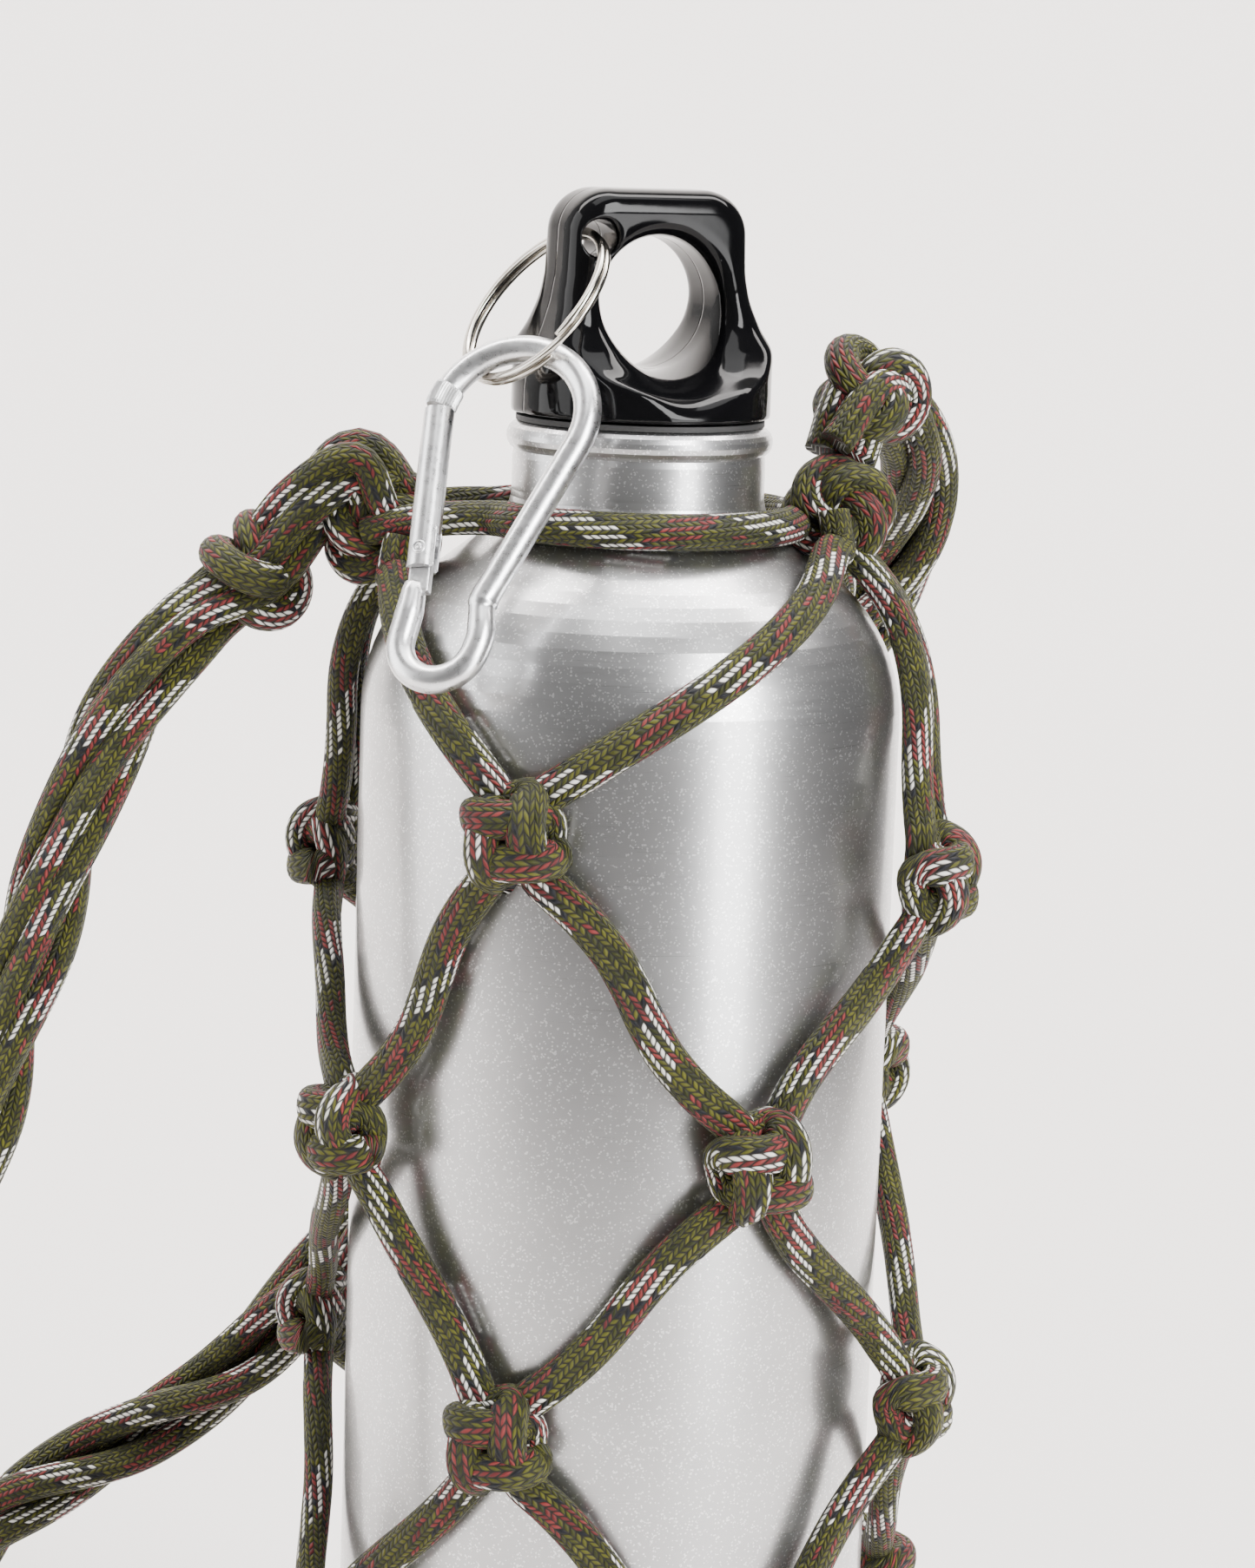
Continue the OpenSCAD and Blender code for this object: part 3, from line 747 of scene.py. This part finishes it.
def cap_mesh():
    """The moulding as a field of distances: a round base that narrows to a flat loop, cut by window and hole."""
    step = 0.34
    low = (-18.6, -18.6, 0.2)
    n = (110, 110, 94)
    x, y, z = np.meshgrid(*[low[k] + step * np.arange(n[k]) for k in range(3)], indexing="ij")
    w = profile(z, [0, 4.6, 8.6, 12.4, 15.8, 19.6, 25], [17.4, 17.4, 16.5, 15.0, 13.9, 13.2, 13.0])
    t = profile(z, [0, 4.0, 5.4, 7.0, 9.5, 13, 17, 21], [17.6, 17.4, 15.0, 12.4, 10.0, 7.6, 6.3, 6.0])
    qx, qz = np.abs(x) - (w - 6), z - 25
    front = np.hypot(np.maximum(qx, 0), np.maximum(qz, 0)) + np.minimum(np.maximum(qx, qz), 0) - 6
    side = (np.abs(y) - t) * 0.85
    body = smooth_max(front, side, 3.4)
    body = smooth_max(body, np.hypot(x, y) - 17.4, 0.6)
    reach = 8.8 + 0.022 * np.maximum(np.abs(y) - 3, 0) ** 2
    window = reach - np.hypot(x, z - LOOP_Z)
    body = smooth_max(body, window, 2.2)
    body = smooth_max(body, 2.5 - np.hypot(x - HOLE_X, z - HOLE_Z), 0.5)
    body = smooth_max(body, 1.0 - z, 0.5)
    points, faces = surface_net(body, low, step)
    points = points @ rot("z", CAP_TURN).T + np.array([0, 0, LIP_Z + STAND])
    return points, faces


cap = mesh_object("cap_moulding", *cap_mesh())
finish_piece(cap, CAP, "cap", "cap", "cap_handle")
smoothing = cap.modifiers.new("smooth", "SMOOTH")
smoothing.factor = 0.5
smoothing.iterations = 4


# ---------------------------------------------------------------- split ring

RING_MID = 11.9          # radius of the middle of the wire
RING_WIRE = (0.6, 0.43)  # half the width and thickness of the wire
RING_LEAN, RING_TWIST, RING_TOP, RING_ENDS = 38, 7, 0.35, -62
hole = rot("z", CAP_TURN) @ np.array([HOLE_X, 0, 0]) + np.array([0, 0, LIP_Z + HOLE_Z + STAND])
ring_frame = rot("z", CAP_TURN + RING_TWIST) @ rot("y", RING_LEAN)
ring_middle = hole + ring_frame @ np.array([0, 0, RING_TOP - RING_MID])


def ring_mesh():
    """Nearly two coils of flat wire that lie on each other, thinner at both ends."""
    leaf, steps = 0.9, 340
    turn = 1.97 * (np.arange(steps + 1) / steps - 0.5)
    a = np.radians(360 * turn + RING_ENDS)
    section = []
    for k in range(16):
        b = 2 * math.pi * (k + 0.5) / 16
        round_part = zip((math.cos(b), math.sin(b)), RING_WIRE)
        section.append(tuple(np.sign(v) * abs(v) ** 0.7 * half for v, half in round_part))
    points = []
    for i in range(steps + 1):
        near = min(i, steps - i) / 6
        size = min(1.0, 0.55 + 0.45 * near)
        for dr, dz in section:
            r = RING_MID + dr * size
            local = rot("y", 90) @ np.array([r * math.cos(a[i]), r * math.sin(a[i]), -leaf * turn[i] + dz * size])
            points.append(ring_middle + ring_frame @ local)
    m = len(section)
    faces = []
    for i in range(steps):
        for k in range(m):
            l = (k + 1) % m
            faces.append((i * m + k, (i + 1) * m + k, (i + 1) * m + l, i * m + l))
    faces.append(tuple(range(m)))
    faces.append(tuple(steps * m + k for k in range(m - 1, -1, -1)))
    return points, faces


ring = mesh_object("split_ring_wire", *ring_mesh())
finish_piece(ring, NICKEL, "ring", "ring", "split_ring")


# ---------------------------------------------------------------- carabiner

# In the carabiner's plane: the big arc's radius, the hook's radius and middle, and the slope of the long side
ARC_R, HOOK_R, HOOK_AT, SLOPE = 10.3, 5.2, np.array([0.7, -32.4]), 13
PIN_AT, NOSE_AT = np.array([-5.6, -20.6]), np.array([-10.2, -0.5])
# How far round the ring it hangs and how far inside it, and the angles its plane is turned, tilted and leant by
HANG_TURN, HANG_GAP, HANG_WIRE = 30, 1.6, 1.75
PLANE_YAW, PLANE_TILT, PLANE_SIDE, PLANE_LEAN = -20, -32, -5, 10
hang = ring_frame @ rot("x", -HANG_TURN)
hang_at = ring_middle + hang @ np.array([0, 0, -(RING_MID - RING_WIRE[0] - HANG_WIRE - HANG_GAP)])
plane = hang @ rot("x", HANG_TURN) @ rot("y", -RING_LEAN) @ rot("z", PLANE_YAW - CAP_TURN - RING_TWIST)
plane = plane @ rot("x", PLANE_TILT) @ rot("y", PLANE_SIDE)
plane_at = hang_at + plane @ np.array([0, 0, -ARC_R])
plane = plane @ rot("y", PLANE_LEAN)


def flat_arc(centre, r, start, end, steps):
    a = np.radians(np.linspace(start, end, steps + 1))
    return np.c_[centre[0] + r * np.cos(a), centre[1] + r * np.sin(a)]


def in_plane(points):
    points = np.asarray(points, float)
    return plane_at + points @ plane.T


def frame_wire():
    """Middle of the bent wire: from the nose over the arc, down the long side, round the hook to the gate."""
    sl = math.radians(SLOPE)
    top = ARC_R * np.array([math.cos(sl), -math.sin(sl)])
    end = top + 24 * np.array([-math.sin(sl), -math.cos(sl)])
    spine = top + np.linspace(0.1, 1, 9)[:, None] * (end - top)
    flat = np.vstack([
        flat_arc((0, 0), ARC_R, 180, -SLOPE, 30), spine,
        [end + [0.2, -1.3], HOOK_AT + [HOOK_R, 2.2]],
        flat_arc(HOOK_AT, HOOK_R, 0, -180, 20),
        [HOOK_AT + [-HOOK_R - 0.1, 2.4], HOOK_AT + [-HOOK_R - 0.3, 4.6], PIN_AT + [0.3, -4.4]],
    ])
    path = np.c_[flat[:, 0], np.zeros(len(flat)), flat[:, 1]]
    return relax(curve(path, 0.35), 10)


def carabiner_parts():
    """The wire, thinner at both ends, with a step where the long side runs into the hook."""
    path = frame_wire()
    s = lengths(path)
    total = s[-1]
    bend = s[np.argmin(np.linalg.norm(path - [ARC_R - 5.2, 0, -26.2], axis=1))]
    scale = np.interp(s, [0, 0.6, 1.2, bend - 3, bend, bend + 0.5, bend + 3, total - 4, total - 1, total],
                      [0.8, 0.97, 1, 1, 1.06, 0.92, 1, 1, 0.86, 0.7])
    points, faces, _ = tube_parts(path, circle(1.83, 28), scale=scale)
    return in_plane(points), faces


frame_piece = mesh_object("carabiner_wire", *carabiner_parts())
finish_piece(frame_piece, ALUMINIUM, "carabiner", "carabiner", "carabiner_frame")

gate_dir = np.array([NOSE_AT[0] - PIN_AT[0], 0, NOSE_AT[1] - PIN_AT[1]])
gate_len = np.linalg.norm(gate_dir)
gate_up = gate_dir / gate_len
gate_side = np.array([gate_up[2], 0, -gate_up[0]])
gate_base = np.array([PIN_AT[0], 0, PIN_AT[1]])


def in_gate(points):
    """From the gate's own frame: X towards the inside of the carabiner, Y through the pin, Z along the gate."""
    x, y, z = np.hsplit(np.asarray(points, float), 3)
    return in_plane(gate_base + x * gate_side + y * np.array([0, 1.0, 0]) + z * gate_up)


def block(size, at):
    """A small bar of this size about a point."""
    x, y, z = (s / 2 for s in size)
    pts = np.array([(i * x, j * y, k * z) for i in (-1, 1) for j in (-1, 1) for k in (-1, 1)]) + np.array(at)
    faces = [(0, 1, 3, 2), (4, 6, 7, 5), (0, 4, 5, 1), (2, 3, 7, 6), (0, 2, 6, 4), (1, 5, 7, 3)]
    return pts, faces


def ribbed_collar():
    """The hook's nose: a short collar with fine ribs that the gate closes against."""
    path = frame_wire()
    at = path[lengths(path) <= 3.4]
    ribs = 36
    section = []
    for k in range(2 * ribs):
        r = 2.06 + (0.07 if k % 2 else -0.05)
        section.append((r * math.cos(math.pi * k / ribs), r * math.sin(math.pi * k / ribs)))
    size = np.interp(lengths(at), [0, 0.3, 0.5, 2.9, 3.4], [0.9, 0.99, 1, 0.98, 0.9])
    points, faces, _ = tube_parts(at, section, scale=size)
    return mesh_object("carabiner_collar", in_plane(points), faces, smooth=False)


def gate_marks():
    """The rivet's upset ends in the gate's foot and the lip of the slot beside them."""
    parts = []
    for sign in (-1, 1):
        for r, tube, y in ((0.75, 0.2, 1.93), (0.28, 0.22, 1.96)):
            t = np.linspace(0, 2 * math.pi, 28, endpoint=False)
            ring = np.c_[r * np.cos(t), sign * (y - 0.5 * (r * np.cos(t)) ** 2 / 2), r * np.sin(t)]
            parts.append(tube_parts(ring, circle(tube, 8), closed=True))
    edge = np.array([[1.75, -0.95, -2.2], [1.78, -0.95, 1.0], [1.78, -0.95, 3.0], [1.78, 0.0, 3.4],
                     [1.78, 0.95, 3.0], [1.78, 0.95, 1.0], [1.75, 0.95, -2.2]])
    parts.append(tube_parts(curve(edge, 0.3), circle(0.16, 8)))
    points, faces, _ = join(parts)
    return mesh_object("carabiner_gate_rivet", in_gate(points), faces)


def tongue():
    """The flattened end of the wire that the gate's foot turns on."""
    pts, faces = block((2.9, 1.6, 5.4), (0, 0, -3.1))
    obj = mesh_object("carabiner_tongue", in_gate(pts), faces, smooth=False)
    bevel = obj.modifiers.new("bevel", "BEVEL")
    bevel.width = 0.35 * MM
    bevel.segments = 3
    return obj


finish_piece(tongue(), CUT, "carabiner", "carabiner")
finish_piece(ribbed_collar(), CUT, "carabiner", "carabiner")
finish_piece(gate_marks(), ALUMINIUM, "gate", "carabiner")

dress("bottle_shell", BOTTLE)
dress("thread_insert", INSERT)
dress("cap_plug", PLUG)
dress("cap_seal", SEAL)
for node in ("carabiner_gate", "gate_pin"):
    dress(node, ALUMINIUM)
for node in ("gate_spring", "gate_plunger"):
    dress(node, STEEL)


# ---------------------------------------------------------------- floor, backdrop and light

def backdrop():
    """A sheet of paper that runs from the floor up a round bend into the wall."""
    m = Nodes("pale_paper")
    grain = m.noise(m.place(), 900.0, 2.0)
    paper = m.set(Base_Color=m.mix(grain, (0.862, 0.832, 0.810), (0.882, 0.852, 0.830)), Roughness=0.85)
    front, start, r, top = -0.42, 0.55, 0.5, 2.6
    bend = [math.radians(a) for a in range(10, 91, 10)]
    ys = [front, start] + [start + r * math.sin(a) for a in bend] + [start + r]
    zs = [0, 0] + [r - r * math.cos(a) for a in bend] + [top]
    points, faces = [], []
    for y, z in zip(ys, zs):
        points += [(-1300, 1000 * y, 1000 * z), (480 + 350 * z, 1000 * y, 1000 * z)]
    for i in range(len(ys) - 1):
        faces.append((2 * i, 2 * i + 1, 2 * i + 3, 2 * i + 2))
    obj = mesh_object("backdrop", points, faces)
    obj.data.materials.append(paper)


backdrop()


def area(name, at, look, size, power, colour=(1, 1, 1)):
    """A rectangular light that faces a point. Metres and watts."""
    light = bpy.data.objects.new(name, bpy.data.lights.new(name, "AREA"))
    bpy.context.collection.objects.link(light)
    light.data.shape = "RECTANGLE"
    light.data.size, light.data.size_y = size
    light.data.energy = power
    light.data.color = colour
    light.location = at
    light.rotation_euler = (Vector(look) - Vector(at)).to_track_quat("-Z", "Y").to_euler()


area("strip_right", (0.77, -0.78, 0.78), (0, 0, 0.17), (0.40, 0.8), 25.0)
area("strip_low", (0.82, -0.81, -0.02), (0, 0, 0.1), (0.34, 0.7), 9.0)
area("soft_left", (-1.05, -0.12, 0.42), (0, 0, 0.13), (0.8, 1.1), 11.0)
area("top", (0.1, -0.12, 1.15), (0, 0.02, 0.1), (0.8, 0.5), 5.0)
area("wall", (0.0, 0.30, 1.25), (0, 1.05, 0.35), (2.4, 0.5), 58.0, (1.0, 0.965, 0.945))

world = bpy.data.worlds.new("studio")
bpy.context.scene.world = world
world.use_nodes = True
tree = world.node_tree
back = tree.nodes["Background"]
direction = tree.nodes.new("ShaderNodeSeparateXYZ")
tree.links.new(tree.nodes.new("ShaderNodeTexCoord").outputs["Generated"], direction.inputs[0])


def ramp(value, *numbers):
    """From the first two numbers to the last two."""
    node = tree.nodes.new("ShaderNodeMapRange")
    tree.links.new(value, node.inputs[0])
    for slot, number in zip(list(node.inputs)[1:5], numbers):
        slot.default_value = number
    return node.outputs[0]


def product(a, b):
    node = tree.nodes.new("ShaderNodeMath")
    node.operation = "MULTIPLY"
    tree.links.new(a, node.inputs[0])
    tree.links.new(b, node.inputs[1])
    return node.outputs[0]


# A studio: white behind the object and to its left, dim on the camera's side and overhead, dark on the right
depth = ramp(direction.outputs[1], -0.9, 0.4, 0.2, 1.0)
side = ramp(direction.outputs[0], 0.25, 0.7, 1.0, 0.08)
high = ramp(direction.outputs[2], 0.25, 0.8, 1.0, 0.55)
tree.links.new(product(product(depth, side), high), back.inputs[1])
back.inputs[0].default_value = (1.0, 0.985, 0.97, 1)
